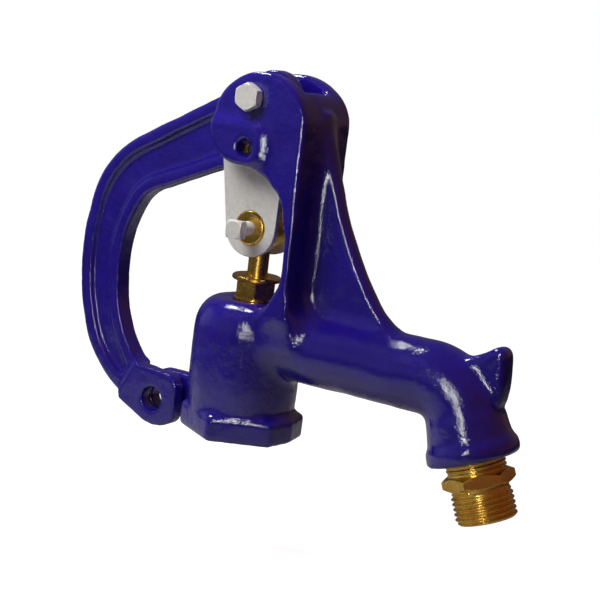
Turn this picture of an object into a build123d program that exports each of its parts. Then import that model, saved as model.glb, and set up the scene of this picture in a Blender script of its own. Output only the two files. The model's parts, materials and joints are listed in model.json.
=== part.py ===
from build123d import *
import math
import os

# Head of a frost-proof yard hydrant, lever type. Millimetres, +Z up.
# The standpipe and its rod run along Z, the spout leaves along +X, the lever hangs on the -X side.
# The mould's parting plane is Y = 0. "Near" is the -Y side, "far" is the +Y side.

# ---------------------------------------------------------------- pivots, all along Y
pivot_z = 156.8
link_pin_z = 134.3
crosshead_z = 97.7

# ---------------------------------------------------------------- base, body and waterway
base_af = 50.8
base_height = 11.8
base_chamfer = 1.2
ridge_x = 27.8
socket_r = 15.0
socket_depth = 22.0
body_shift_x = -1.1
body_foot_r = 24.4
body_r = 25.9
shoulder_z = 43.0
dome_r = 24.7
dome_z = 55.0
crown_r = 20.6
crown_z = 61.6
boss_r = 15.5
boss_top_z = 63.8
nut_seat_r = 11.6
nut_seat_z = 62.7
chamber_r = 18.0
chamber_top_z = 49.0

# ---------------------------------------------------------------- spout and outlet
spout_z = 47.0
spout_r = 16.5
spout_start_x = 14.0
bore_r = 11.5
elbow_x = 107.2
elbow_bend_r = 20.5
outlet_tilt = 21.5
outlet_length = 33.1
limb_r = 17.3
limb_foot_r = 19.0
collar_r = 20.5
collar_height = 6.5
outlet_socket_r = 13.0
outlet_socket_depth = 13.0

# ---------------------------------------------------------------- yoke
yoke_half_width = 20.8
foot_x = 19.5
foot_length = 25.0
foot_width = 37.0
channel_half_width = 12.0
web_front_x = 28.5
web_back_x = 24.2
leg_back_x = 25.6
web_ridge_x = 30.2
web_crown_x = 18.5
web_lean_z = 143.0
web_crown_z = 153.0
web_top_z = 161.5
web_foot_z = 76.0
rib_half_width = 4.6
rib_rounding = 3.0
hook_half_width = 6.0
hook_rounding = 2.5
pad_height = 2.8
pad_r = 8.2
pad_rise = 3.0
access_hole_r = 3.6

# ---------------------------------------------------------------- rod, crosshead and links
rod_r = 4.7625
rod_foot_z = 24.0
rod_top_z = 106.0
running_gap = 0.05
eye_r = 10.5
eye_half_width = 7.5
trunnion_r = 7.95
trunnion_half_width = 11.7
slot_travel = 1.25
set_screw_r = 3.2
set_screw_tip = 5.0
set_screw_head_out = 24.8
set_screw_head_height = 5.5
set_screw_square = 8.0
link_inner_y = 7.6
link_thickness = 3.2
link_foot_r = 13.3
pin_r = 3.175
pin_half_length = 11.7
pin_seat_gap = 0.02

# ---------------------------------------------------------------- lever
lever_half_width = 5.3
lever_rim = 6.3
lever_recess = 3.1
lever_rounding = 1.5
hub_r = 12.6
hub_boss_r = 6.5
hub_boss_half_width = 11.9
link_eye_r = 10.2
link_eye_boss_half_width = 7.55
tab_near_y = -7.0
tab_far_y = 0.6
lug_near_y = 1.2
lug_far_y = 9.2
lock_hole_x = -48.6
lock_hole_z = 5.4
lock_hole_r = 5.6
lug_top_z = 19.6

# ---------------------------------------------------------------- pivot bolt, 1/4 in
bolt_r = 3.175
bolt_hole_gap = 0.08
bolt_head_af = 11.1
bolt_head_height = 5.2
washer_thickness = 1.6
washer_r = 6.2
washer_gap = 1.6
nut_height = 5.6
bolt_end_past_nut = 1.9

# ---------------------------------------------------------------- packing
packing_bore_r = 8.0
packing_floor_z = 43.0
packing_hub_foot_z = 40.0
packing_hub_r = 12.0
nut_thread_r = 9.5
nut_thread_foot_z = 55.4
packing_parts_r = 7.95
packing_ring_bore_r = 4.8
packing_ring_height = 3.2
seat_washer_height = 1.5
gland_height = 2.9
loose_bore_r = 5.1
packing_nut_collar_r = 10.0
packing_nut_hex_z = 65.2
packing_nut_af = 17.4
packing_nut_neck_r = 8.3
packing_nut_flange_z = 72.8
packing_nut_flange_r = 11.5
packing_nut_top_z = 75.0

# ---------------------------------------------------------------- hose nozzle
nozzle_shank_r = 12.95
nozzle_shank_length = 10.5
nozzle_neck_r = 13.1
nozzle_neck_length = 5.5
nozzle_hex_af = 28.0
nozzle_hex_height = 6.2
nozzle_relief_r = 12.2
nozzle_relief_length = 1.2
hose_thread_r = 13.49
hose_thread_length = 13.0
hose_thread_chamfer = 1.0
nozzle_bore_r = 9.6

# Seen from the near side: local x is +X, local y is +Z, and the normal is -Y.
side = Plane.XZ

tilt = math.radians(outlet_tilt)
outlet_dir = Vector(math.sin(tilt), 0, -math.cos(tilt))
outlet_face = Vector(elbow_x, 0, spout_z) + outlet_dir * outlet_length
limb_length = outlet_length - elbow_bend_r * math.tan((math.pi / 2 - tilt) / 2)
# At the collar's face, with the normal along the stream.
outlet = Plane(origin=outlet_face, x_dir=(0, 1, 0), z_dir=outlet_dir)

os.makedirs("parts", exist_ok=True)


def save(builder, label):
    """Label a finished piece and write it as its own STEP file."""
    builder.part.label = label
    export_step(builder.part, f"parts/{label}.step")


def band(near_y, far_y):
    """The side plane at near_y, and how far to extrude it to reach far_y."""
    return side.offset(-near_y), near_y - far_y


def spout_path(start_x):
    """Centre line of the spout: level, then a bend, then down to the collar's face."""
    tangent = elbow_bend_r * math.tan((math.pi / 2 - tilt) / 2)
    level_end = (elbow_x - tangent, spout_z)
    drop_start = (elbow_x + tangent * outlet_dir.X, spout_z + tangent * outlet_dir.Z)
    with BuildLine(side) as path:
        Line((start_x, spout_z), level_end)
        TangentArc(level_end, drop_start, tangent=(1, 0))
        Line(drop_start, (outlet_face.X, outlet_face.Z))
    return path


def turned_hexagon(plane, across_flats, height, vertex_turn):
    """Hexagonal prism standing on a plane, its corners turned down to a cone at both ends."""
    corner_r = across_flats / math.sqrt(3)
    face_r = 0.48 * across_flats
    cone = (corner_r - face_r) * math.tan(math.radians(30))
    with BuildPart() as prism:
        with BuildSketch(plane):
            RegularPolygon(across_flats / 2, 6, major_radius=False, rotation=vertex_turn)
        extrude(amount=height)
        with BuildSketch(Plane(origin=plane.origin, x_dir=plane.x_dir, z_dir=-plane.y_dir)):
            Polygon(
                (0, 0),
                (face_r, 0),
                (corner_r, cone),
                (corner_r, height - cone),
                (face_r, height),
                (0, height),
                align=None,
            )
        revolve(axis=Axis(plane.origin, plane.z_dir), mode=Mode.INTERSECT)
    return prism.part


def link_plate(label, near_y, far_y):
    """Flat plate from the crosshead's trunnion up to the link pin, wider on the lever's side."""
    start, depth = band(near_y, far_y)
    with BuildPart() as plate:
        with BuildSketch(start):
            with Locations((0, crosshead_z)):
                Circle(link_foot_r)
            with Locations((-5.5, link_pin_z - 2.8)):
                Circle(link_foot_r + 0.2)
            with Locations((0.5, link_pin_z)):
                Circle(link_foot_r + 0.4)
            make_hull()
            with Locations((0, crosshead_z)):
                Circle(trunnion_r + running_gap, mode=Mode.SUBTRACT)
            with Locations((0, link_pin_z)):
                Circle(pin_r + running_gap, mode=Mode.SUBTRACT)
        extrude(amount=depth)
        rims = plate.faces().sort_by(Axis.Y)
        chamfer(rims[0].outer_wire().edges() + rims[-1].outer_wire().edges(), 0.4)
    save(plate, label)


def ring(label, outer_r, inner_r, low_z, height):
    """A plain ring on the rod's axis, written under its label."""
    with BuildPart() as piece:
        with BuildSketch(Plane.XY.offset(low_z)):
            Circle(outer_r)
            Circle(inner_r, mode=Mode.SUBTRACT)
        extrude(amount=height)
    save(piece, label)


# ================================================================ head casting
# Hexagonal base. The draft of the two mould halves leaves a ridge on the parting plane.
base_corner = base_af / math.sqrt(3)
with BuildPart() as base:
    with BuildSketch():
        Polygon(
            (0, base_corner),
            (-base_af / 2, base_corner / 2),
            (-ridge_x, 0),
            (-base_af / 2, -base_corner / 2),
            (0, -base_corner),
            (base_af / 2, -base_corner / 2),
            (ridge_x, 0),
            (base_af / 2, base_corner / 2),
            align=None,
        )
    extrude(amount=base_height)
    rims = base.edges().group_by(Axis.Z)
    chamfer(rims[0] + rims[-1], base_chamfer)

# Round body with a domed shoulder, cast a little off the rod's axis, and the packing boss on top.
with BuildPart() as body:
    with BuildSketch(Plane(origin=(body_shift_x, 0, 0), x_dir=(1, 0, 0), z_dir=(0, -1, 0))):
        with BuildLine():
            Spline(
                (body_foot_r, base_height / 2),
                (body_r, shoulder_z),
                (dome_r, dome_z),
                (crown_r, crown_z),
                (boss_r, boss_top_z),
                tangents=[(0.12, 1), (-1, 0.15)],
            )
            Polyline(
                (boss_r, boss_top_z),
                (0, boss_top_z),
                (0, base_height / 2),
                (body_foot_r, base_height / 2),
            )
        make_face()
    revolve(axis=Axis((body_shift_x, 0, 0), (0, 0, 1)))

# Spout tube, elbow and the collar at its mouth.
with BuildPart() as spout:
    with BuildSketch(Plane(origin=(spout_start_x, 0, spout_z), z_dir=(1, 0, 0))):
        Circle(spout_r)
    sweep(path=spout_path(spout_start_x).line)
    # The limb below the bend flares towards the collar.
    with BuildSketch(outlet.offset(-limb_length)):
        Circle(limb_r)
    with BuildSketch(outlet.offset(-collar_height)):
        Circle(limb_foot_r)
    loft()
    with BuildSketch(outlet.offset(-collar_height)):
        Circle(collar_r)
    extrude(amount=collar_height)
    chamfer(spout.edges().filter_by(GeomType.CIRCLE).sort_by(Axis.Z)[:1], 0.8)

# Bucket hook: an upright horn on the elbow's back.
with BuildPart() as bucket_hook:
    with BuildSketch(side):
        with BuildLine():
            Spline((106, 58), (112, 60.3), (122.7, 66.2))
            ThreePointArc((122.7, 66.2), (126.6, 66.9), (128.8, 64))
            Spline((128.8, 64), (129.6, 57), (129.2, 43))
            Polyline((129.2, 43), (114, 40), (106, 58))
        make_face()
    extrude(amount=hook_half_width, both=True)
    fillet(bucket_hook.edges().filter_by(Axis.Y, reverse=True), hook_rounding)

# Yoke: two ears joined by a front web, open towards the lever.
with BuildPart() as yoke:
    with BuildSketch(side) as ear:
        with BuildLine():
            ThreePointArc((-19.8, 142), (-14.2, 160.4), (3, 168.3))
            ThreePointArc((3, 168.3), (18.5, 163.8), (web_front_x, 150))
            Polyline((web_front_x, 150), (web_front_x, 60), (22.5, 60), (24.7, 72))
            Spline((24.7, 72), (leg_back_x, 90), (20.3, 112), tangents=[(0.12, 1), (-0.2, 1)])
            ThreePointArc((20.3, 112), (12.6, 120.7), (0, 126))
            ThreePointArc((0, 126), (-14.8, 131.4), (-19.8, 142))
        make_face()
    extrude(amount=yoke_half_width, both=True)
    # Ridge on the front of the web.
    with BuildSketch(Plane.XY.offset(60)):
        Polygon(
            (web_back_x, -yoke_half_width),
            (web_front_x, -yoke_half_width),
            (web_ridge_x, 0),
            (web_front_x, yoke_half_width),
            (web_back_x, yoke_half_width),
            align=None,
        )
    extrude(amount=90)
    # Channel for the lever and the links, and the gap over the web.
    with BuildSketch(side):
        Polygon(
            (web_back_x, 60),
            (web_back_x, web_lean_z),
            (web_crown_x, web_crown_z),
            (web_crown_x, 180),
            (-36, 180),
            (-36, 60),
            align=None,
        )
        with Locations((0, web_top_z)):
            Rectangle(80, 30, align=(Align.CENTER, Align.MIN))
    extrude(amount=channel_half_width, both=True, mode=Mode.SUBTRACT)
    # Raised pads around the pin holes, flush with the ears' back edges.
    for face_y in (-yoke_half_width, yoke_half_width):
        with BuildSketch(side.offset(-face_y)):
            with Locations((0, link_pin_z)):
                Circle(pad_r)
                Rectangle(24, 2 * pad_r, align=(Align.MAX, Align.CENTER))
            with Locations((0, link_pin_z + pad_rise)):
                Circle(pad_r)
                Rectangle(24, 2 * pad_r, align=(Align.MAX, Align.CENTER))
            add(ear.sketch_local, mode=Mode.INTERSECT)
        extrude(amount=math.copysign(pad_height, -face_y))
    with Locations(side.offset(base_af)):
        with Locations((0, pivot_z)):
            Hole(bolt_r + bolt_hole_gap)
        with Locations((0, link_pin_z)):
            Hole(access_hole_r)

# Foot that carries the web down into the body and the spout.
with BuildPart() as yoke_foot:
    with BuildSketch(Plane.XY.offset(web_foot_z)):
        with Locations(((web_back_x + web_front_x) / 2, 0)):
            Rectangle(web_front_x - web_back_x + 1, 2 * yoke_half_width)
    with BuildSketch(Plane.XY.offset(spout_z)):
        with Locations((foot_x, 0)):
            Rectangle(foot_length, foot_width)
    loft()

# Rib that runs from the web's head down the front to the spout.
with BuildPart() as rib:
    with BuildSketch(side):
        with BuildLine():
            Spline(
                (29.0, 153.5),
                (35.5, 132),
                (43.6, 110),
                (53.4, 90),
                (64.0, 74),
                (84, 62),
                tangents=[(0.3, -1), (1, -0.1)],
            )
            Polyline(
                (84, 62),
                (84, spout_z),
                (web_back_x + 1, spout_z),
                (web_back_x + 1, 153.5),
                (29.0, 153.5),
            )
        make_face()
    extrude(amount=rib_half_width, both=True)
    curved_front = rib.faces().filter_by(GeomType.EXTRUSION)
    fillet(curved_front.edges().filter_by(Axis.Y, reverse=True), rib_rounding)

# Lug that takes the padlock behind the lever's tab.
with BuildPart() as padlock_lug:
    start, depth = band(lug_near_y, lug_far_y)
    with BuildSketch(start):
        with BuildLine():
            Polyline((lock_hole_x, -5.0), (-20, 1), (-20, lug_top_z), (-48, lug_top_z))
            ThreePointArc((-48, lug_top_z), (-56, 14.5), (-59, 5.4))
            ThreePointArc((-59, 5.4), (-55.9, -2), (lock_hole_x, -5.0))
        make_face()
    extrude(amount=depth)

# Water chamber, packing bore with the spot-faced seat of its nut, and outlet socket.
with BuildPart() as waterway:
    with BuildSketch(side):
        Polygon(
            (0, -1),
            (socket_r, -1),
            (socket_r, socket_depth),
            (chamber_r, socket_depth + 3),
            (chamber_r, chamber_top_z - 5),
            (chamber_r - 4, chamber_top_z),
            (packing_hub_r, chamber_top_z),
            (packing_hub_r, packing_hub_foot_z),
            (0, packing_hub_foot_z),
            align=None,
        )
        Polygon(
            (0, packing_hub_foot_z),
            (loose_bore_r, packing_hub_foot_z),
            (loose_bore_r, packing_floor_z),
            (packing_bore_r, packing_floor_z),
            (packing_bore_r, nut_thread_foot_z),
            (nut_thread_r, nut_thread_foot_z),
            (nut_thread_r, nut_seat_z),
            (nut_seat_r, nut_seat_z),
            (nut_seat_r, boss_top_z + 1),
            (0, boss_top_z + 1),
            align=None,
        )
    revolve(axis=Axis.Z)
    with BuildSketch(Plane(origin=(packing_hub_r, 0, spout_z), z_dir=(1, 0, 0))):
        Circle(bore_r)
    sweep(path=spout_path(packing_hub_r).line)
    with BuildSketch(outlet.offset(-outlet_socket_depth)):
        Circle(outlet_socket_r)
    extrude(amount=outlet_socket_depth + 1)

with BuildPart() as head_casting:
    for piece in (base, body, spout, bucket_hook, yoke, yoke_foot, rib, padlock_lug):
        add(piece.part)
    add(waterway.part, mode=Mode.SUBTRACT)
    start, depth = band(lug_near_y, lug_far_y)
    with BuildSketch(start):
        with Locations((lock_hole_x, lock_hole_z)):
            Circle(lock_hole_r)
    extrude(amount=depth, mode=Mode.SUBTRACT)
save(head_casting, "head_casting")

# ================================================================ lever handle
# Curved arm with a rim around a recessed web. It tucks the padlock tab under the base.
with BuildPart() as arm:
    with BuildSketch(side) as arm_outline:
        with BuildLine():
            Line((-5.4, 166.7), (-72, 130.3))
            ThreePointArc((-72, 130.3), (-89.5, 114.5), (-98, 92))
            ThreePointArc((-98, 92), (-100.2, 61), (-92, 27.5))
            ThreePointArc((-92, 27.5), (-82.5, 14.3), (-67, 2.9))
            Line((-67, 2.9), (-58, 20.5))
            Line((-58, 20.5), (-62.5, 23.2))
            ThreePointArc((-62.5, 23.2), (-72.4, 40), (-76.2, 59))
            ThreePointArc((-76.2, 59), (-75.0, 81), (-67.5, 99.5))
            ThreePointArc((-67.5, 99.5), (-62.5, 104.6), (-56, 107.6))
            Line((-56, 107.6), (4, 133))
            Line((4, 133), (-5.4, 166.7))
        make_face()
    extrude(amount=lever_half_width, both=True)
    rims = arm.faces().sort_by(Axis.Y)
    fillet(rims[0].edges() + rims[-1].edges(), lever_rounding)
    for face_y in (-lever_half_width, lever_half_width):
        with BuildSketch(side.offset(-face_y)):
            add(arm_outline.sketch_local)
            offset(amount=-lever_rim)
        extrude(amount=math.copysign(lever_recess, face_y), mode=Mode.SUBTRACT)

with BuildPart() as lever_handle:
    add(arm.part)
    # Hub around the pivot, link eye below it, and the neck between them.
    with BuildSketch(side):
        with Locations((0, pivot_z)):
            Circle(hub_r)
        with Locations((0, link_pin_z)):
            Circle(link_eye_r)
        make_hull()
    extrude(amount=lever_half_width, both=True)
    for boss_z, half_width in (
        (pivot_z, hub_boss_half_width),
        (link_pin_z, link_eye_boss_half_width),
    ):
        with BuildSketch(side):
            with Locations((0, boss_z)):
                Circle(hub_boss_r)
        extrude(amount=half_width, both=True)
    # Padlock tab.
    start, depth = band(tab_near_y, tab_far_y)
    with BuildSketch(start):
        with BuildLine():
            Polyline((-60, 21), (-69, 4.3), (-69, 1.4), (-54, -6))
            ThreePointArc((-54, -6), (-46, -7.4), (-38, -5))
            ThreePointArc((-38, -5), (-35.2, -3), (-34.3, 0))
            Line((-34.3, 0), (-34.3, 13))
            ThreePointArc((-34.3, 13), (-37, 18), (-42, 19.8))
            Line((-42, 19.8), (-60, 21))
        make_face()
    extrude(amount=depth)
    with Locations(side.offset(base_af)):
        with Locations((0, pivot_z)):
            Hole(bolt_r + running_gap)
        with Locations((0, link_pin_z)):
            Hole(pin_r + pin_seat_gap)
        with Locations((lock_hole_x, lock_hole_z)):
            Hole(lock_hole_r)
save(lever_handle, "lever_handle")

# ================================================================ links and their pin
link_outer_y = link_inner_y + link_thickness
link_plate("link_near", -link_outer_y, -link_inner_y)
link_plate("link_far", link_inner_y, link_outer_y)

with BuildPart() as link_pin:
    with BuildSketch(side):
        with Locations((0, link_pin_z)):
            Circle(pin_r)
    extrude(amount=pin_half_length, both=True)
    chamfer(link_pin.edges().filter_by(GeomType.CIRCLE), 0.6)
save(link_pin, "link_pin")

# ================================================================ crosshead, rod and set screws
with BuildPart() as crosshead:
    for radius, half_width in ((eye_r, eye_half_width), (trunnion_r, trunnion_half_width)):
        with BuildSketch(side):
            with Locations((0, crosshead_z)):
                Circle(radius)
        extrude(amount=half_width, both=True)
    ends = crosshead.edges().filter_by(GeomType.CIRCLE).group_by(Axis.Y)
    chamfer(ends[0] + ends[-1], 0.8)
    # The rod's bore is a slot, because the crosshead drifts a little along X as the links swing.
    with BuildSketch(Plane.XY.offset(crosshead_z - eye_r)):
        SlotCenterToCenter(2 * slot_travel, 2 * (rod_r + running_gap))
    extrude(amount=2 * eye_r, mode=Mode.SUBTRACT)
    with BuildSketch(side):
        with Locations((0, crosshead_z)):
            Circle(set_screw_r + running_gap)
    extrude(amount=trunnion_half_width, both=True, mode=Mode.SUBTRACT)
save(crosshead, "crosshead")

with BuildPart() as set_screws:
    for direction in (-1, 1):
        with BuildSketch(side.offset(-direction * set_screw_tip)):
            with Locations((0, crosshead_z)):
                Circle(set_screw_r)
        extrude(amount=-direction * (set_screw_head_out - set_screw_tip))
        with BuildSketch(side.offset(-direction * (set_screw_head_out - set_screw_head_height))):
            with Locations((0, crosshead_z)):
                RectangleRounded(set_screw_square, set_screw_square, 0.6)
        extrude(amount=-direction * set_screw_head_height)
save(set_screws, "set_screws")

with BuildPart() as operating_rod:
    with BuildSketch(Plane.XY.offset(rod_foot_z)):
        Circle(rod_r)
    extrude(amount=rod_top_z - rod_foot_z)
    chamfer(operating_rod.edges().filter_by(GeomType.CIRCLE).sort_by(Axis.Z)[-1:], 0.8)
save(operating_rod, "operating_rod")

# ================================================================ packing, stacked from the floor up
ring("packing_seat_washer", packing_parts_r, loose_bore_r, packing_floor_z, seat_washer_height)
stack_z = packing_floor_z + seat_washer_height
for place in ("lower", "middle", "upper"):
    ring(f"packing_ring_{place}", packing_parts_r, packing_ring_bore_r, stack_z, packing_ring_height)
    stack_z += packing_ring_height
ring("packing_gland", packing_parts_r, loose_bore_r, stack_z, gland_height)
nut_foot_z = stack_z + gland_height

with BuildPart() as packing_nut:
    hex_height = packing_nut_flange_z - packing_nut_hex_z
    add(turned_hexagon(Plane.XY.offset(packing_nut_hex_z), packing_nut_af, hex_height, 0))
    for radius, low_z, high_z in (
        (nut_thread_r - running_gap, nut_foot_z, nut_seat_z),
        (packing_nut_collar_r, nut_seat_z, packing_nut_hex_z),
        (packing_nut_neck_r, packing_nut_hex_z, packing_nut_flange_z),
        (packing_nut_flange_r, packing_nut_flange_z, packing_nut_top_z),
    ):
        with BuildSketch(Plane.XY.offset(low_z)):
            Circle(radius)
        extrude(amount=high_z - low_z)
    with Locations((0, 0, packing_nut_top_z)):
        Hole(loose_bore_r)
    chamfer(packing_nut.edges().filter_by(GeomType.CIRCLE).group_by(Axis.Z)[-1], 0.4)
save(packing_nut, "packing_nut")

# ================================================================ pivot bolt
bolt_face_y = -yoke_half_width - bolt_head_height
bolt_head_plane = Plane(origin=(0, bolt_face_y, pivot_z), x_dir=(1, 0, 0), z_dir=(0, 1, 0))
washer_plane = Plane(origin=(0, yoke_half_width, pivot_z), x_dir=(1, 0, 0), z_dir=(0, 1, 0))
bolt_end_y = yoke_half_width + washer_thickness + nut_height + bolt_end_past_nut
with BuildPart() as pivot_bolt:
    add(turned_hexagon(bolt_head_plane, bolt_head_af, bolt_head_height, 90))
    with BuildSketch(bolt_head_plane.offset(bolt_head_height)):
        Circle(bolt_r)
    extrude(amount=bolt_end_y + yoke_half_width)
    chamfer(pivot_bolt.edges().filter_by(GeomType.CIRCLE).sort_by(Axis.Y)[-1:], 0.7)
save(pivot_bolt, "pivot_bolt")

# Split spring washer.
with BuildPart() as pivot_lock_washer:
    with BuildSketch(washer_plane):
        Circle(washer_r)
        Circle(bolt_r + 2 * running_gap, mode=Mode.SUBTRACT)
        with Locations((0, washer_r)):
            Rectangle(washer_gap, washer_r, rotation=20, mode=Mode.SUBTRACT)
    extrude(amount=washer_thickness)
save(pivot_lock_washer, "pivot_lock_washer")

with BuildPart() as pivot_nut:
    add(turned_hexagon(washer_plane.offset(washer_thickness), bolt_head_af, nut_height, 90))
    with BuildSketch(washer_plane.offset(washer_thickness)):
        Circle(bolt_r + running_gap)
    extrude(amount=nut_height, mode=Mode.SUBTRACT)
save(pivot_nut, "pivot_nut")

# ================================================================ hose nozzle
hex_plane = outlet.offset(nozzle_neck_length)
relief_start = nozzle_neck_length + nozzle_hex_height
thread_start = relief_start + nozzle_relief_length
thread_end = thread_start + hose_thread_length
with BuildPart() as hose_nozzle:
    add(turned_hexagon(hex_plane, nozzle_hex_af, nozzle_hex_height, 0))
    for radius, start_at, end_at in (
        (nozzle_shank_r, -nozzle_shank_length, 0),
        (nozzle_neck_r, 0, nozzle_neck_length),
        (nozzle_relief_r, relief_start, thread_start),
        (hose_thread_r, thread_start, thread_end),
    ):
        with BuildSketch(outlet.offset(start_at)):
            Circle(radius)
        extrude(amount=end_at - start_at)
    along_stream = hose_nozzle.edges().filter_by(GeomType.CIRCLE).sort_by(Axis(outlet_face, outlet_dir))
    chamfer(along_stream[-1:], hose_thread_chamfer)
    with BuildSketch(outlet.offset(thread_end)):
        Circle(nozzle_bore_r)
    extrude(amount=-(thread_end + nozzle_shank_length), mode=Mode.SUBTRACT)
save(hose_nozzle, "hose_nozzle")
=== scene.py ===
import json
import math

import bmesh
import bpy
import numpy as np
import openvdb
from mathutils import Matrix, Vector


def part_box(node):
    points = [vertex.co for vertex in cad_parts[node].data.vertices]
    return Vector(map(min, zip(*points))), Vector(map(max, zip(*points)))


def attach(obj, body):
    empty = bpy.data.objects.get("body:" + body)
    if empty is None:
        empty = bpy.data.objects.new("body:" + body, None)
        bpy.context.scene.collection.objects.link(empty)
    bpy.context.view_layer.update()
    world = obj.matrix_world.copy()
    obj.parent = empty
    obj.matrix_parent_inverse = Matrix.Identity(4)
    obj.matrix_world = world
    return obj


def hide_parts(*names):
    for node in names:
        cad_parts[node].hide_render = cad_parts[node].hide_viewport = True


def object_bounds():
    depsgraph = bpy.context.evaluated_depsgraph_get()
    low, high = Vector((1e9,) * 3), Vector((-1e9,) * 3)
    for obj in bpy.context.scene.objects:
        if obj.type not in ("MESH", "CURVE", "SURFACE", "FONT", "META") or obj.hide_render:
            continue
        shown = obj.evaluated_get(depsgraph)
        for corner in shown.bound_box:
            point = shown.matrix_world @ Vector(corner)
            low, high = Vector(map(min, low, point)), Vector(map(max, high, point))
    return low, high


# Looks for a frost-proof yard hydrant head: enamelled castings, brass and zinc-plated hardware.
# Blender works in metres. Shape work below is in millimetres, converted by MM when a mesh is made.
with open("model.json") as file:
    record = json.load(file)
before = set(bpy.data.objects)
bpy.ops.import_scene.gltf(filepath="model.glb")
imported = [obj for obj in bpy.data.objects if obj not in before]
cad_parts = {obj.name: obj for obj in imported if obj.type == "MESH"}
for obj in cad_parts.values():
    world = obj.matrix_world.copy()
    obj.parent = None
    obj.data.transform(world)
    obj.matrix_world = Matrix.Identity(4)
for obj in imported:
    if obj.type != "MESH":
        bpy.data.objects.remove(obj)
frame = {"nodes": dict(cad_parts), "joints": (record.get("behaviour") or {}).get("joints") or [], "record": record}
cad_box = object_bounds()
MM = 0.001


# ============================================================ places read from the frame
def box_mm(node):
    """Lowest and highest corners of a CAD node at rest, in millimetres."""
    low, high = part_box(node)
    return np.array(low) / MM, np.array(high) / MM


def mount(name):
    """A mount's place in millimetres, its axis, and its dimensions."""
    found = next(m for m in frame["record"]["mounts"] if m["name"] == name)
    return np.array(found["pos_m"]) / MM, np.array(found["axis"], float), found.get("dims", {})


def joint_z(name):
    """Height of a hinge's axis, in millimetres."""
    found = next(j for j in frame["joints"] if j["name"] == name)
    return found["pos_m"][2] / MM


pivot_z = joint_z("lever_pivot")
link_pin_z = joint_z("link_pivot")
crosshead_foot = joint_z("crosshead_pivot")
casting_low, casting_high = box_mm("head_casting")
nut_low, nut_high = box_mm("packing_nut")
bolt_low, bolt_high = box_mm("pivot_bolt")
rod_low, rod_high = box_mm("operating_rod")
pin_high = box_mm("link_pin")[1]
screw_low, screw_high = box_mm("set_screws")
pivot_nut_low, pivot_nut_high = box_mm("pivot_nut")
hose_middle, hose_axis, hose_dims = mount("hose_thread")
socket_place, _, socket_dims = mount("standpipe_socket")
lock_place, _, lock_dims = mount("padlock_hole")

Y_AXIS = np.array((0.0, 1.0, 0.0))
Z_AXIS = np.array((0.0, 0.0, 1.0))


def add_object(name, data):
    """A new object in the scene."""
    thing = bpy.data.objects.new(name, data)
    bpy.context.scene.collection.objects.link(thing)
    return thing


def circle(count):
    """Evenly spaced angles, once round."""
    return np.linspace(0, 2 * math.pi, count, endpoint=False)


# ============================================================ castings, from distance fields
def smoothstep(low, high, value):
    """0 before low, 1 after high, and a smooth rise between them."""
    t = np.clip((value - low) / (high - low), 0.0, 1.0)
    return t * t * (3.0 - 2.0 * t)


def window(value, rise, fall):
    """1 between the two slopes, 0 outside them; each slope is (start, end)."""
    return smoothstep(*rise, value) * (1 - smoothstep(*fall, value))


def spline_weights(count, step, cell):
    """Cubic B-spline weights that spread a coarse lattice over count samples, step apart."""
    at = np.arange(count) * step / cell + 1.0
    lattice = np.arange(int(at[-1]) + 3)
    t = np.abs(at[:, None] - lattice[None, :])
    near = 2.0 / 3.0 - t**2 + t**3 / 2.0
    far = np.clip(2.0 - t, 0.0, None) ** 3 / 6.0
    return np.where(t < 1.0, near, far).astype(np.float32)


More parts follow.
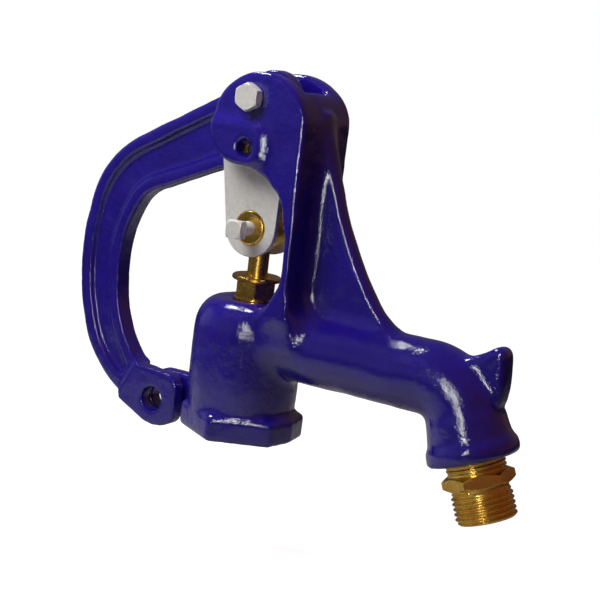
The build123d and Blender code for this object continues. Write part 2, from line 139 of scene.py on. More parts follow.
class Field:
    """Signed distance on a regular grid round one CAD node, in mm, negative inside."""

    def __init__(self, node, voxel, reach):
        low, high = box_mm(node)
        self.voxel = voxel
        self.low = np.floor((low - reach - 2 * voxel) / voxel).astype(int)
        top = np.ceil((high + reach + 2 * voxel) / voxel).astype(int)
        self.shape = tuple(int(n) for n in top - self.low + 1)
        axes = [(self.low[i] + np.arange(self.shape[i])) * voxel for i in range(3)]
        self.x = axes[0][:, None, None].astype(np.float32)
        self.y = axes[1][None, :, None].astype(np.float32)
        self.z = axes[2][None, None, :].astype(np.float32)
        mesh = frame["nodes"][node].data
        mesh.calc_loop_triangles()
        points = np.empty(len(mesh.vertices) * 3, np.float32)
        mesh.vertices.foreach_get("co", points)
        triangles = np.empty(len(mesh.loop_triangles) * 3, np.int32)
        mesh.loop_triangles.foreach_get("vertices", triangles)
        self.values = self.distance(
            points.reshape(-1, 3) / MM, reach, triangles=triangles.reshape(-1, 3).astype(np.uint32)
        )

    def distance(self, points, reach, **faces):
        """Distance to a closed surface, kept true up to reach on both sides of it."""
        grid = openvdb.FloatGrid.createLevelSetFromPolygons(
            points.astype(np.float32),
            transform=openvdb.createLinearTransform(self.voxel),
            halfWidth=reach / self.voxel,
            **faces,
        )
        values = np.empty(self.shape, np.float32)
        grid.copyToArray(values, ijk=tuple(int(n) for n in self.low))
        return values

    def surface(self, level):
        """Points and quads of the surface at a distance level."""
        grid = openvdb.FloatGrid(float(self.values.max()))
        grid.transform = openvdb.createLinearTransform(self.voxel)
        grid.copyFromArray(self.values, ijk=tuple(int(n) for n in self.low))
        return grid.convertToQuads(level)

    def fill_corners(self, radius, where=1.0):
        """Gives inside corners a fillet of this radius, as far as the mask where says."""
        points, quads = self.surface(radius)
        filled = self.distance(points, radius + 4 * self.voxel, quads=quads) + radius
        self.values += where * (filled - self.values)

    def round_edges(self, radius, where=1.0):
        """Rounds outside edges to this radius, as far as the mask where says."""
        points, quads = self.surface(-radius)
        rounded = self.distance(points, radius + 4 * self.voxel, quads=quads) - radius
        self.values += where * (rounded - self.values)

    def lumps(self, cell, height, seed, where=1.0):
        """Adds a sand-cast unevenness: a smooth random swell with lumps about cell wide."""
        weights = [spline_weights(n, self.voxel, cell) for n in self.shape]
        swell = np.random.default_rng(seed).standard_normal([w.shape[1] for w in weights])
        swell = swell.astype(np.float32)
        for along in weights:
            swell = np.tensordot(swell, along, axes=(0, 1))
        self.values += where * height * swell

    def bore(self, place, axis, radius, start, end, lip):
        """Cuts a round hole from start to end along axis, its rim softened over lip."""
        dx, dy, dz = self.x - place[0], self.y - place[1], self.z - place[2]
        along = dx * axis[0] + dy * axis[1] + dz * axis[2]
        out = np.sqrt(np.maximum(dx * dx + dy * dy + dz * dz - along * along, 0.0))
        hole = np.maximum(out - radius, np.abs(along - (start + end) / 2) - (end - start) / 2)
        near = np.clip(0.5 - 0.5 * (self.values + hole) / lip, 0.0, 1.0)
        blend = self.values * (1.0 - near) - hole * near + lip * near * (1.0 - near)
        self.values = blend.astype(np.float32)

    def normals(self, points):
        """Unit normals at points, from the field's slope."""
        at = points / self.voxel - self.low
        cell = np.floor(at).astype(int)
        share = at - cell
        slopes = np.gradient(self.values)
        total = np.zeros_like(points)
        for corner in np.ndindex(2, 2, 2):
            weight = np.prod(np.where(corner, share, 1.0 - share), axis=1)
            i, j, k = (cell + corner).T
            total += weight[:, None] * np.stack([s[i, j, k] for s in slopes], axis=1)
        return total / np.linalg.norm(total, axis=1)[:, None]

    def piece(self, name):
        """The zero surface as a Blender object, in metres."""
        points, quads = self.surface(0.0)
        mesh = bpy.data.meshes.new(name)
        mesh.vertices.add(len(points))
        mesh.vertices.foreach_set("co", (points * MM).astype(np.float32).ravel())
        mesh.loops.add(4 * len(quads))
        mesh.loops.foreach_set("vertex_index", quads.astype(np.int32).ravel())
        mesh.polygons.add(len(quads))
        mesh.polygons.foreach_set("loop_start", np.arange(0, 4 * len(quads), 4, dtype=np.int32))
        mesh.update(calc_edges=True)
        mesh.validate()
        mesh.shade_smooth()
        mesh.normals_split_custom_set_from_vertices(self.normals(points.astype(float)))
        return add_object(name, mesh)


def place(thing, body, slot, material, *nodes):
    """Rides a new piece on its body, gives it its material, and hides what it replaces; slot is not used."""
    thing.data.materials.clear()
    thing.data.materials.append(material)
    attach(thing, body)
    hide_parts(*nodes)


# ============================================================ sizes, in millimetres
CASTING_VOXEL = 0.92
LEVER_VOXEL = 0.62
ACCESS_HOLE_R = 3.6
PIN_HOLE_R = 3.2
# Half lengths of the cuts through the lever's hub and through the padlock lug and tab.
HUB_REACH = 14
LOCK_REACH = 12
NUT_SEAT_Z = 62.7
PACKING_BORE_R = 9.5
PACKING_BORE_DEPTH = 7.3
PACKING_NUT_AF = 17.4
PACKING_COLLAR_R = 10.0
PACKING_COLLAR_HEIGHT = 2.5
PACKING_FLANGE_HEIGHT = 2.2
OUTLET_SOCKET_R = 13.0
OUTLET_SOCKET_DEPTH = 13.0
NOZZLE_BORE_R = 9.6
NOZZLE_NECK = 5.5
NOZZLE_HEX = 6.2
NOZZLE_RELIEF = 1.2
# How far the nozzle goes on past the stated length of its thread.
NOZZLE_LIP = 1.6
BOLT_R = 3.175
BOLT_HOLE_R = 3.255
BOLT_HEAD_HEIGHT = 5.2
SCREW_R = 3.2
SCREW_TIP = 5.0
SCREW_HEAD_HEIGHT = 5.5
# Thread pitches: garden hose, tapered pipe, and 1/4 in coarse.
HOSE_PITCH = 25.4 / 11.5
PIPE_PITCH = 25.4 / 14
COARSE_PITCH = 25.4 / 20
thread_length = hose_dims["length_mm"]
thread_foot = NOZZLE_NECK + NOZZLE_HEX + NOZZLE_RELIEF
outlet_face = hose_middle - hose_axis * (thread_foot + thread_length / 2)
half_width_y = (casting_high[1] - casting_low[1]) / 2


def head_casting(material):
    """The head: fillets where the sand mould had them, soft edges, and a lumpy painted skin."""
    cast = Field("head_casting", CASTING_VOXEL, 16.0)
    x, y, z = cast.x, cast.y, cast.z
    from_face = (x - outlet_face[0]) * hose_axis[0] + (z - outlet_face[2]) * hose_axis[2]
    off_middle = np.abs(y)
    # Where each fillet and rounding applies, in millimetres: 1 inside, 0 outside.
    above_spout = smoothstep(52, 58, z)
    leg_foot = above_spout * window(x, (5, 9), (34, 42)) * smoothstep(13, 16, off_middle)
    rib_foot = above_spout * window(x, (26, 32), (84, 92))
    horn = smoothstep(102, 110, x) * (1 - smoothstep(-26, -20, from_face))
    throat = window(z, (36, 42), (62, 72)) * window(x, (4, 10), (34, 44))
    throat = throat * smoothstep(4, 9, off_middle)
    soft = window(z, (14, 20), (148, 153))
    legs = window(x, (19, 21), (31, 33)) * window(z, (56, 62), (104, 112))
    legs = legs * smoothstep(9, 11, off_middle)
    machined = np.maximum(1 - smoothstep(0.4, 1.4, z), smoothstep(-1.4, -0.4, from_face))
    # Large fillets first: each step leaves the distances true only near its own radius.
    fillets = ((14.0, throat), (8.0, leg_foot), (4.5, rib_foot), (3.6, horn), (2.2, soft))
    for radius, where in fillets:
        cast.fill_corners(radius, where)
    cast.fill_corners(1.2)
    cast.round_edges(0.9)
    cast.round_edges(1.5, (1 - legs) * soft)
    for cell, height, seed in ((9.0, 0.30, 3), (4.2, 0.17, 4), (2.3, 0.075, 5)):
        cast.lumps(cell, height, seed, 1 - machined)
    cast.bore((0, 0, pivot_z), Y_AXIS, BOLT_HOLE_R, -half_width_y, half_width_y, 0.5)
    cast.bore((0, 0, link_pin_z), Y_AXIS, ACCESS_HOLE_R, -half_width_y, half_width_y, 0.8)
    cast.bore(lock_place, Y_AXIS, lock_dims["r_mm"], -LOCK_REACH, LOCK_REACH, 0.9)
    cast.bore((0, 0, NUT_SEAT_Z), Z_AXIS, PACKING_BORE_R, -PACKING_BORE_DEPTH, 14, 0.5)
    cast.bore(socket_place, Z_AXIS, socket_dims["r_mm"], -4, socket_dims["length_mm"], 0.9)
    cast.bore(outlet_face, hose_axis, OUTLET_SOCKET_R, -OUTLET_SOCKET_DEPTH, 3, 0.5)
    thing = cast.piece("head_casting_enamelled")
    place(thing, "head", "enamel", material, "head_casting")


def lever_handle(material):
    """The lever, with soft rims round its recessed web and the padlock tab."""
    cast = Field("lever_handle", LEVER_VOXEL, 4.0)
    cast.fill_corners(2.0)
    cast.round_edges(1.15)
    for cell, height, seed in ((8.0, 0.22, 13), (3.6, 0.12, 14), (1.9, 0.05, 15)):
        cast.lumps(cell, height, seed)
    cast.bore((0, 0, pivot_z), Y_AXIS, BOLT_HOLE_R, -HUB_REACH, HUB_REACH, 0.4)
    cast.bore((0, 0, link_pin_z), Y_AXIS, PIN_HOLE_R, -HUB_REACH, HUB_REACH, 0.4)
    cast.bore(lock_place, Y_AXIS, lock_dims["r_mm"], -LOCK_REACH, LOCK_REACH, 0.7)
    thing = cast.piece("lever_handle_enamelled")
    place(thing, "lever", "enamel", material, "lever_handle")


# ============================================================ turned and hexagonal hardware
def polygon_radius(angles, across_flats, sides, turn):
    """Distance from the middle to a regular polygon's edge, at each angle."""
    sector = 2 * math.pi / sides
    return across_flats / 2 / np.cos((angles - turn + sector / 2) % sector - sector / 2)


def prism_rows(angles, across_flats, sides, turn, low, high, face_share=0.96, slope=30.0):
    """Outline of a bolt head or nut: its flats, and its corners turned down at both ends."""
    edge = polygon_radius(angles, across_flats, sides, turn)
    face = face_share * across_flats / 2
    drop = (edge - face) * math.tan(math.radians(slope))
    return [(face, low), (edge, low + drop), (edge, high - drop), (face, high)]


def thread_rows(angles, crest, pitch, depth, low, high, fade_turns=1.0, steps=10, start=0.0):
    """Outline of a right-hand external thread, which fades in over its first turns."""
    rows = []
    for along in np.linspace(low, high, int((high - low) / pitch * steps) + 1):
        turn = (along - low) / pitch - ((angles - start) % (2 * math.pi)) / (2 * math.pi)
        wave = np.abs((turn % 1.0) * 2 - 1)
        tooth = smoothstep(0.12, 0.88, wave)
        fade = smoothstep(0.0, fade_turns, turn + 0.5)
        rows.append((crest - depth * (1 - tooth * fade), along))
    return rows


def turned(name, middle, axis, x_dir, rows, angles, closed=False):
    """A mesh from an outline carried round an axis. Each row is (radius, distance along)."""
    axis, x_dir = np.array(axis, float), np.array(x_dir, float)
    y_dir = np.cross(axis, x_dir)
    out = np.cos(angles)[:, None] * x_dir + np.sin(angles)[:, None] * y_dir
    rings = []
    for radius, along in rows:
        radius = np.broadcast_to(np.asarray(radius, float), angles.shape)
        along = np.broadcast_to(np.asarray(along, float), angles.shape)
        rings.append(np.array(middle) + radius[:, None] * out + along[:, None] * axis)
    points = np.concatenate(rings) * MM
    count = len(angles)
    around = np.arange(count)
    after = (around + 1) % count
    faces = []
    for row in range(len(rows) if closed else len(rows) - 1):
        low, high = row * count, (row + 1) % len(rows) * count
        faces += np.stack([low + around, low + after, high + after, high + around], axis=1).tolist()
    mesh = bpy.data.meshes.new(name)
    mesh.from_pydata(points.tolist(), [], faces)
    return add_object(name, mesh)


def clean(thing, width, limit=32.0):
    """Welds the seams, turns all faces outward, and gives the sharp edges a small round."""
    shape = bmesh.new()
    shape.from_mesh(thing.data)
    bmesh.ops.remove_doubles(shape, verts=shape.verts, dist=2e-6)
    bmesh.ops.dissolve_degenerate(shape, edges=shape.edges, dist=1e-6)
    bmesh.ops.recalc_face_normals(shape, faces=shape.faces)
    shape.to_mesh(thing.data)
    shape.free()
    thing.data.shade_smooth()
    soften(thing, width, limit)


def soften(thing, width, limit=32.0):
    """A small round on every edge sharper than limit, so that edges catch the light."""
    bevel = thing.modifiers.new("edge_round", "BEVEL")
    bevel.width = width * MM
    bevel.segments = 2
    bevel.limit_method = "ANGLE"
    bevel.angle_limit = math.radians(limit)
    bevel.harden_normals = False
    even = thing.modifiers.new("even_normals", "WEIGHTED_NORMAL")
    even.keep_sharp = False


def hose_nozzle(material):
    """Hose nozzle: last turns of its pipe thread, hexagon, land, hose thread and bore."""
    angles = circle(144)
    crest = hose_dims["r_mm"]
    low, high = box_mm("hose_nozzle")
    bore = NOZZLE_BORE_R
    hex_af = (high[1] - low[1]) * math.cos(math.radians(30))
    hex_low, hex_high = NOZZLE_NECK, NOZZLE_NECK + NOZZLE_HEX
    end = thread_foot + thread_length + NOZZLE_LIP
    rows = [(bore, -9.5), (bore + 0.6, -10.4), (12.4, -10.4), (12.9, -9.8), (12.9, -0.2)]
    rows += thread_rows(angles, 13.25, PIPE_PITCH, 0.55, 0.0, 4.2, 0.3, 8)
    rows += [(12.75, 4.6), (12.75, hex_low)]
    rows += prism_rows(angles, hex_af, 6, math.pi / 6, hex_low, hex_high)
    rows += [(12.55, hex_high), (12.55, hex_high + 0.6)]
    span = (hex_high + 0.9, end - 0.9)
    rows += thread_rows(angles, crest, HOSE_PITCH, 1.05, *span, 1.2, 12, math.pi)
    rows += [(12.2, end), (bore + 0.7, end), (bore, end - 0.7)]
    thing = turned("hose_nozzle_brass", outlet_face, hose_axis, Y_AXIS, rows, angles, closed=True)
    clean(thing, 0.18, 50)
    place(thing, "head", "brass", material, "hose_nozzle")


def packing_nut(material):
    """Packing nut: collar on the boss, hexagon, and a wide flange at the top."""
    angles = circle(96)
    foot, top = nut_low[2], nut_high[2]
    flange_r = nut_high[0]
    flange_z = top - PACKING_FLANGE_HEIGHT
    hex_z = NUT_SEAT_Z + PACKING_COLLAR_HEIGHT
    collar_r = PACKING_COLLAR_R
    rows = [(5.15, foot + 0.5), (5.6, foot), (9.0, foot), (9.4, foot + 0.4), (9.4, NUT_SEAT_Z)]
    rows += [(9.7, NUT_SEAT_Z), (collar_r, NUT_SEAT_Z + 0.3), (collar_r, hex_z - 0.5), (9.6, hex_z)]
    rows += prism_rows(angles, PACKING_NUT_AF, 6, math.pi / 6, hex_z, flange_z, 1.0, 24)
    rows += [(8.6, flange_z), (flange_r - 0.5, flange_z), (flange_r, flange_z + 0.5)]
    rows += [(flange_r, top - 0.6), (flange_r - 0.6, top), (5.9, top), (5.15, top - 0.7)]
    thing = turned("packing_nut_brass", (0, 0, 0), Z_AXIS, (1, 0, 0), rows, angles, closed=True)
    clean(thing, 0.15)
    place(thing, "head", "brass", material, "packing_nut")


def operating_rod(material):
    """The rod, chamfered at its top."""
    angles = circle(64)
    radius, low, high = rod_high[0], rod_low[2], rod_high[2]
    rows = [(0, low), (radius - 0.3, low), (radius, low + 0.3)]
    rows += [(radius, z) for z in np.linspace(low + 1, high - 1, 24)]
    rows += [(radius, high - 0.8), (radius - 0.8, high), (0, high)]
    thing = turned("operating_rod_brass", (0, 0, 0), Z_AXIS, (1, 0, 0), rows, angles)
    clean(thing, 0.15)
    place(thing, "rod", "brass", material, "operating_rod")


def link_pin(material):
    """The link pin, its ends domed a little."""
    angles = circle(48)
    radius, half = pin_high[0], pin_high[1]
    rows = [(0, -half), (1.6, -half + 0.05), (radius - 0.6, -half + 0.25), (radius, -half + 0.9)]
    rows += [(radius, half - 0.9), (radius - 0.6, half - 0.25), (1.6, half - 0.05), (0, half)]
    thing = turned("link_pin_brass", (0, 0, link_pin_z), Y_AXIS, Z_AXIS, rows, angles)
    clean(thing, 0.12)
    place(thing, "lever", "brass", material, "link_pin")


def pivot_bolt(material):
    """Hexagon-headed bolt through the ears, threaded at its far end."""
    angles = circle(72)
    face_y, end_y = bolt_low[1], bolt_high[1]
    head_inner = face_y + BOLT_HEAD_HEIGHT
    af = bolt_high[0] - bolt_low[0]
    rows = [(0, face_y + 0.12), (0.93 * af / 2, face_y + 0.12)]
    rows += prism_rows(angles, af, 6, math.pi / 6, face_y, head_inner)[:3]
    thread_y = pivot_nut_low[1] - 3.6
    rows += [(0.98 * af / 2, head_inner), (BOLT_R, head_inner), (BOLT_R, thread_y - 0.4)]
    rows += thread_rows(angles, BOLT_R, COARSE_PITCH, 0.52, thread_y, end_y - 0.7, 1.0, 8)
    rows += [(BOLT_R - 0.7, end_y), (0, end_y)]
    thing = turned("pivot_bolt_zinc", (0, 0, pivot_z), Y_AXIS, Z_AXIS, rows, angles)
    clean(thing, 0.16, 50)
    place(thing, "head", "zinc", material, "pivot_bolt")


def pivot_nut(material):
    """Hexagon nut on the far ear."""
    angles = circle(72)
    low, high = pivot_nut_low[1], pivot_nut_high[1]
    af = pivot_nut_high[0] - pivot_nut_low[0]
    rows = [(BOLT_R + 0.08, low + 0.6), (BOLT_R + 0.68, low)]
    rows += prism_rows(angles, af, 6, math.pi / 6, low, high)
    rows += [(BOLT_R + 0.68, high), (BOLT_R + 0.08, high - 0.6)]
    thing = turned("pivot_nut_zinc", (0, 0, pivot_z), Y_AXIS, Z_AXIS, rows, angles, closed=True)
    clean(thing, 0.15)
    place(thing, "head", "zinc", material, "pivot_nut")


def set_screws(material):
    """Two square-headed set screws, one from each side, as one piece."""
    angles = circle(64)
    out, tip, square = screw_high[1], SCREW_TIP, screw_high[0] - screw_low[0]
    head_foot = out - SCREW_HEAD_HEIGHT
    things = []
    for side in (-1, 1):
        rows = [(0, tip), (2.2, tip), (2.6, tip + 0.5)]
        rows += thread_rows(angles, SCREW_R, COARSE_PITCH, 0.5, tip + 0.8, head_foot - 1.2, 1.0, 8)
        rows += [(2.75, head_foot - 0.8), (2.75, head_foot)]
        rows += prism_rows(angles, square, 4, 0.0, head_foot, out, 0.97, 28)
        rows += [(0.9 * square / 2, out), (0, out)]
        x_dir = (1, 0, 0)
        things.append(turned("set_screw", (0, 0, crosshead_foot), Y_AXIS * side, x_dir, rows, angles))
    screws, other = things
    screws.data = joined((screws.data, other.data))
    bpy.data.objects.remove(other)
    screws.name = "set_screws_zinc"
    clean(screws, 0.16, 50)
    place(screws, "crosshead", "zinc", material, "set_screws")


def joined(meshes):
    """One mesh that holds several."""
    shape = bmesh.new()
    for mesh in meshes:
        shape.from_mesh(mesh)
    whole = bpy.data.meshes.new("joined")
    shape.to_mesh(whole)
    shape.free()
    return whole


def keep_cad(node, material, width=None):
    """A CAD node whose shape is right: it gets a material, and its edges a small round."""
    thing = frame["nodes"][node]
    thing.data.materials.clear()
    thing.data.materials.append(material)
    for face in thing.data.polygons:
        face.material_index = 0
    if width:
        weld = thing.modifiers.new("weld", "WELD")
        weld.merge_threshold = 2e-6
        soften(thing, width, 40)


# ============================================================ materials
class Shader:
    """A small helper round one node material."""

    def __init__(self, name):
        self.material = bpy.data.materials.new(name)
        self.material.use_nodes = True
        self.tree = self.material.node_tree
        self.bsdf = self.tree.nodes["Principled BSDF"]
        coordinates = self.tree.nodes.new("ShaderNodeTexCoord")
        self.position = coordinates.outputs["Object"]

    def set(self, **values):
        """Plain values on the Principled node; underscores stand for spaces."""
        for key, value in values.items():
            self.bsdf.inputs[key.replace("_", " ")].default_value = value

    def link(self, output, key):
        """Feeds an input of the Principled node."""
        self.tree.links.new(output, self.bsdf.inputs[key])

    def stretched(self, scale):
        """Object coordinates, scaled by a different amount along each axis."""
        node = self.tree.nodes.new("ShaderNodeMapping")
        node.inputs["Scale"].default_value = scale
        self.tree.links.new(self.position, node.inputs["Vector"])
        return node.outputs["Vector"]

    def noise(self, width_mm, detail=3.0, rough=0.55, vector=None, distortion=0.0):
        """Noise whose features are about width_mm wide."""
        node = self.tree.nodes.new("ShaderNodeTexNoise")
        node.inputs["Scale"].default_value = 1.0 / (width_mm * MM) if vector is None else 1.0
        node.inputs["Detail"].default_value = detail
        node.inputs["Roughness"].default_value = rough
        node.inputs["Distortion"].default_value = distortion
        self.tree.links.new(vector or self.position, node.inputs["Vector"])
        return node.outputs["Fac"]

    def ramp(self, value, low, high, from_value=0.0, to_value=1.0):
        """Maps value from low..high to from_value..to_value, smoothly and clamped."""
        node = self.tree.nodes.new("ShaderNodeMapRange")
        node.interpolation_type = "SMOOTHSTEP"
        node.inputs["From Min"].default_value = low
        node.inputs["From Max"].default_value = high
        node.inputs["To Min"].default_value = from_value
        node.inputs["To Max"].default_value = to_value
        self.tree.links.new(value, node.inputs["Value"])
        return node.outputs["Result"]

    def maths(self, operation, first, second):
        """A Math node; each side is a socket or a number."""
        node = self.tree.nodes.new("ShaderNodeMath")
        node.operation = operation
        for socket, value in zip(node.inputs, (first, second)):
            if isinstance(value, (int, float)):
                socket.default_value = value
            else:
                self.tree.links.new(value, socket)
        return node.outputs["Value"]

    def mix(self, share, first, second):
        """A colour mix; each side is a socket or an RGB tuple."""
        node = self.tree.nodes.new("ShaderNodeMix")
        node.data_type = "RGBA"
        if isinstance(share, (int, float)):
            node.inputs["Factor"].default_value = share
        else:
            self.tree.links.new(share, node.inputs["Factor"])
        for name, value in (("A", first), ("B", second)):
            socket = next(s for s in node.inputs if s.name == name and s.type == "RGBA")
            if isinstance(value, tuple):
                socket.default_value = (*value, 1.0)
            else:
                self.tree.links.new(value, socket)
        return next(s for s in node.outputs if s.type == "RGBA")

    def bump(self, height, depth_mm, after=None):
        """A bump of depth_mm for a height of 1, on top of an earlier bump."""
        node = self.tree.nodes.new("ShaderNodeBump")
        node.inputs["Strength"].default_value = 1.0
        node.inputs["Distance"].default_value = depth_mm * MM
        self.tree.links.new(height, node.inputs["Height"])
        if after is not None:
            self.tree.links.new(after, node.inputs["Normal"])
        return node.outputs["Normal"]

    def pointiness(self):
        """Above 0.5 on outside edges, below it in inside corners."""
        return self.tree.nodes.new("ShaderNodeNewGeometry").outputs["Pointiness"]


def enamel_material():
    """Deep blue-violet gloss enamel over a sand casting."""
    s = Shader("enamel")
    clouds = s.noise(22.0, 3.0)
    mottle = s.noise(3.0, 4.0, 0.6)
    base = s.mix(s.ramp(clouds, 0.3, 0.7), (0.0135, 0.0050, 0.235), (0.0170, 0.0068, 0.285))
    base = s.mix(s.ramp(mottle, 0.35, 0.72, 0.0, 0.5), base, (0.0105, 0.0040, 0.180))
    edge = s.ramp(s.pointiness(), 0.56, 0.64)
    thin = s.maths("MULTIPLY", edge, s.ramp(s.noise(1.6, 3.0, 0.7), 0.45, 0.65))
    base = s.mix(s.maths("MULTIPLY", thin, 0.35), base, (0.030, 0.016, 0.34))
    s.link(base, "Base Color")
    haze = s.noise(7.0, 4.0, 0.6)
    s.link(s.ramp(haze, 0.3, 0.75, 0.11, 0.19), "Roughness")
    grit = s.noise(0.85, 2.0, 0.6)
    orange_peel = s.noise(2.6, 2.0, 0.5)
    rough = s.bump(orange_peel, 0.15)
    rough = s.bump(grit, 0.115, rough)
    s.link(rough, "Normal")
    s.link(rough, "Coat Normal")
    s.set(IOR=1.5, Coat_Weight=0.7, Coat_Roughness=0.05, Coat_IOR=1.5)
    s.bsdf.inputs["Specular IOR Level"].default_value = 0.5
    return s.material


def brass_material():
    """Machined brass: fine turning marks, light tarnish in patches, small scratches."""
    s = Shader("brass")
    patches = s.noise(5.0, 4.0, 0.6)
    base = s.mix(s.ramp(patches, 0.35, 0.7), (0.86, 0.58, 0.13), (0.78, 0.47, 0.08))
    spots = s.ramp(s.noise(1.1, 3.0, 0.6), 0.60, 0.74)
    base = s.mix(s.maths("MULTIPLY", spots, 0.45), base, (0.38, 0.19, 0.05))
    s.link(base, "Base Color")
    s.link(s.ramp(patches, 0.3, 0.75, 0.20, 0.36), "Roughness")
    fine = s.noise(1.0, 2.0, 0.5, s.stretched((500.0, 500.0, 6500.0)))
    rough = s.bump(fine, 0.012)
    rough = s.bump(s.noise(0.9, 2.0), 0.012, rough)
    s.link(rough, "Normal")
    s.set(Metallic=1.0)
    return s.material


def zinc_material(name, brush):
    """Bright zinc plate: faint spangle, fine brush marks and cloudy gloss."""
    s = Shader(name)
    spangle = s.noise(2.2, 3.0, 0.6)
    base = s.mix(s.ramp(spangle, 0.35, 0.7), (0.86, 0.87, 0.84), (0.78, 0.79, 0.76))
    stains = s.ramp(s.noise(6.0, 4.0, 0.65), 0.56, 0.74)
    base = s.mix(s.maths("MULTIPLY", stains, 0.3), base, (0.58, 0.56, 0.50))
    s.link(base, "Base Color")
    s.link(s.ramp(s.noise(4.0, 3.0), 0.3, 0.7, 0.34, 0.46), "Roughness")
    marks = s.noise(1.0, 2.0, 0.5, s.stretched(brush))
    rough = s.bump(marks, 0.008)
    rough = s.bump(s.noise(1.3, 2.0), 0.012, rough)
    s.link(rough, "Normal")
    s.set(Metallic=0.25)
    return s.material


def packing_material():
    """Graphited fibre packing: a dull dark weave."""
    s = Shader("packing")
    strands = s.noise(0.8, 4.0, 0.7, distortion=0.6)
    base = s.mix(s.ramp(strands, 0.3, 0.7), (0.012, 0.012, 0.013), (0.055, 0.055, 0.06))
    s.link(base, "Base Color")
    s.link(s.ramp(strands, 0.3, 0.7, 0.55, 0.8), "Roughness")
    s.link(s.bump(strands, 0.12), "Normal")
    return s.material


# ============================================================ stage, light and camera
CAMERA_AZIMUTH = 29.89
CAMERA_ELEVATION = 10.24
CAMERA_ROLL = 6.64
CAMERA_DISTANCE = 0.6392
CAMERA_LENS = 84.04
CAMERA_TARGET = Vector((0.0243, 0.0, 0.0679))
FLOOR_GAP = 0.045


def direction(azimuth, elevation):
    """Unit vector towards a viewpoint; azimuth 0 is -Y, and grows towards +X."""
    a, e = math.radians(azimuth), math.radians(elevation)
    return Vector((math.sin(a) * math.cos(e), -math.cos(a) * math.cos(e), math.sin(e)))


def camera():
    """A three-quarter view of the near side, rolled so that the column leans a little."""
    back = direction(CAMERA_AZIMUTH, CAMERA_ELEVATION)
    level = Vector((0, 0, 1)).cross(back).normalized()
    upright = back.cross(level)
    roll = math.radians(CAMERA_ROLL)
    right = level * math.cos(roll) + upright * math.sin(roll)
    up = upright * math.cos(roll) - level * math.sin(roll)
    data = bpy.data.cameras.new("camera")
    data.lens = CAMERA_LENS
    data.sensor_width = 36.0
    data.clip_start = 0.01
    data.clip_end = 50.0
    thing = add_object("camera", data)
    turn = Matrix((right, up, back)).transposed().to_4x4()
    thing.matrix_world = Matrix.Translation(CAMERA_TARGET + back * CAMERA_DISTANCE) @ turn
    bpy.context.scene.camera = thing


def softbox(name, azimuth, elevation, distance, width, height, power, colour, seen="both"):
    """A rectangular soft light, aimed at the object; seen can leave out one kind of shading."""
    data = bpy.data.lights.new(name, "AREA")
    data.shape = "RECTANGLE"
    data.size, data.size_y = width, height
    data.energy = power
    data.color = colour
    thing = add_object(name, data)
    way = direction(azimuth, elevation)
    thing.location = CAMERA_TARGET + way * distance
    thing.rotation_euler = way.to_track_quat("Z", "Y").to_euler()
    thing.visible_glossy = seen != "diffuse"
    thing.visible_diffuse = seen != "glossy"


def stage():
    """A plain pale floor below the object."""
    low = cad_box[0][2] - FLOOR_GAP
    mesh = bpy.data.meshes.new("floor")
    side = 6.0
    mesh.from_pydata(
        [(-side, -side, low), (side, -side, low), (side, side, low), (-side, side, low)],
        [],
        [(0, 1, 2, 3)],
    )
    floor = add_object("floor", mesh)
    mesh.materials.append(floor_material())


def surroundings():
    """A white backdrop for the camera, and a dim warm room for everything else."""
    world = bpy.data.worlds.new("room")
    bpy.context.scene.world = world
    world.use_nodes = True
    nodes, links = world.node_tree.nodes, world.node_tree.links
    nodes.clear()
    room = nodes.new("ShaderNodeBackground")
    split = nodes.new("ShaderNodeSeparateXYZ")
    links.new(nodes.new("ShaderNodeNewGeometry").outputs["Incoming"], split.inputs["Vector"])
    sides = nodes.new("ShaderNodeValToRGB")
    stops = ((0.15, (0.17, 0.068, 0.05, 1.0)), (0.60, (0.10, 0.080, 0.080, 1.0)))
    for stop, (position, colour) in zip(sides.color_ramp.elements, stops):
        stop.position = position
        stop.color = colour
    towards = nodes.new("ShaderNodeMapRange")
    towards.inputs["From Min"].default_value = -1.0
    towards.inputs["From Max"].default_value = 1.0
    links.new(split.outputs["X"], towards.inputs["Value"])
    links.new(towards.outputs["Result"], sides.inputs["Fac"])
    links.new(sides.outputs["Color"], room.inputs["Color"])
    backdrop = nodes.new("ShaderNodeBackground")
    backdrop.inputs["Color"].default_value = (1.0, 1.0, 1.0, 1.0)
    path = nodes.new("ShaderNodeLightPath")
    choose = nodes.new("ShaderNodeMixShader")
    output = nodes.new("ShaderNodeOutputWorld")
    links.new(path.outputs["Is Camera Ray"], choose.inputs["Fac"])
    links.new(room.outputs["Background"], choose.inputs[1])
    links.new(backdrop.outputs["Background"], choose.inputs[2])
    links.new(choose.outputs["Shader"], output.inputs["Surface"])
    view = bpy.context.scene.view_settings
    view.view_transform = "Standard"
    view.look = "None"


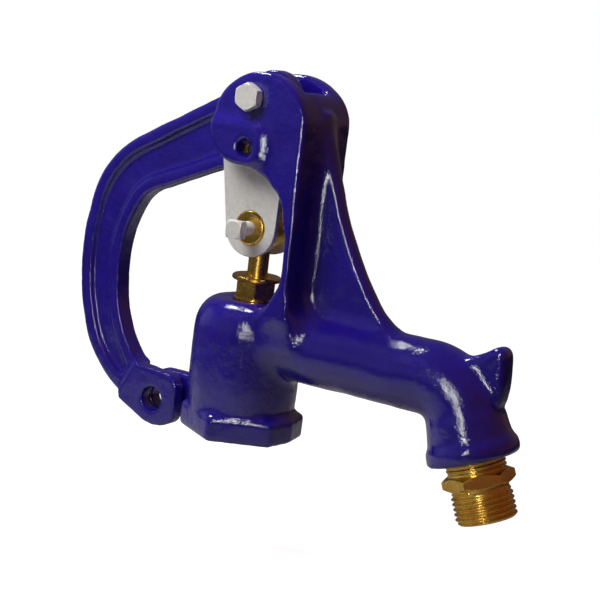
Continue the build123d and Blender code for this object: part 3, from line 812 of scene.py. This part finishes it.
def floor_material():
    """Pale matt floor. Away from the object it glows white for the camera and is dim in mirrors."""
    s = Shader("pale_floor")
    s.set(Roughness=0.9)
    length = s.tree.nodes.new("ShaderNodeVectorMath")
    length.operation = "LENGTH"
    s.tree.links.new(s.position, length.inputs[0])
    near = s.mix(s.noise(400.0), (0.44, 0.44, 0.44), (0.48, 0.48, 0.48))
    away = s.ramp(length.outputs["Value"], 0.22, 0.50)
    s.link(s.mix(away, near, (0.07, 0.07, 0.07)), "Base Color")
    glow = s.ramp(length.outputs["Value"], 0.12, 0.45, 0.86, 1.0)
    seen = s.tree.nodes.new("ShaderNodeLightPath").outputs["Is Camera Ray"]
    s.link(s.maths("MULTIPLY", glow, seen), "Emission Strength")
    s.set(Emission_Color=(1.0, 1.0, 1.0, 1.0))
    return s.material


def lights():
    """Soft lights, named for where they stand or for what they light."""
    softbox("key", -28.0, 48.0, 0.50, 0.26, 0.26, 2.0, (1.0, 0.99, 0.98), "diffuse")
    softbox("overhead", -97.0, 60.5, 0.62, 0.13, 0.13, 1.8, (1.0, 0.99, 0.97))
    softbox("elbow_strip", 19.7, 12.0, 0.30, 0.014, 0.15, 0.26, (1.0, 0.99, 0.98), "glossy")
    softbox("front_card", -30.0, 10.0, 0.60, 0.50, 0.36, 0.05, (1.0, 1.0, 0.98), "glossy")
    softbox("left_panel", -82.0, 4.0, 1.0, 0.9, 0.9, 0.50, (0.95, 0.97, 1.0))


enamel = enamel_material()
brass = brass_material()
zinc = zinc_material("zinc", (700.0, 700.0, 5000.0))
packing = packing_material()
head_casting(enamel)
lever_handle(enamel)
for hardware in (hose_nozzle, packing_nut, operating_rod, link_pin):
    hardware(brass)
for hardware in (pivot_bolt, pivot_nut, set_screws):
    hardware(zinc)
keep_cad("link_near", zinc, 0.2)
keep_cad("link_far", zinc, 0.2)
keep_cad("crosshead", brass, 0.3)
keep_cad("pivot_lock_washer", zinc, 0.2)
keep_cad("packing_gland", brass)
keep_cad("packing_seat_washer", brass)
for ring in ("packing_ring_lower", "packing_ring_middle", "packing_ring_upper"):
    keep_cad(ring, packing)

stage()
surroundings()
lights()
camera()
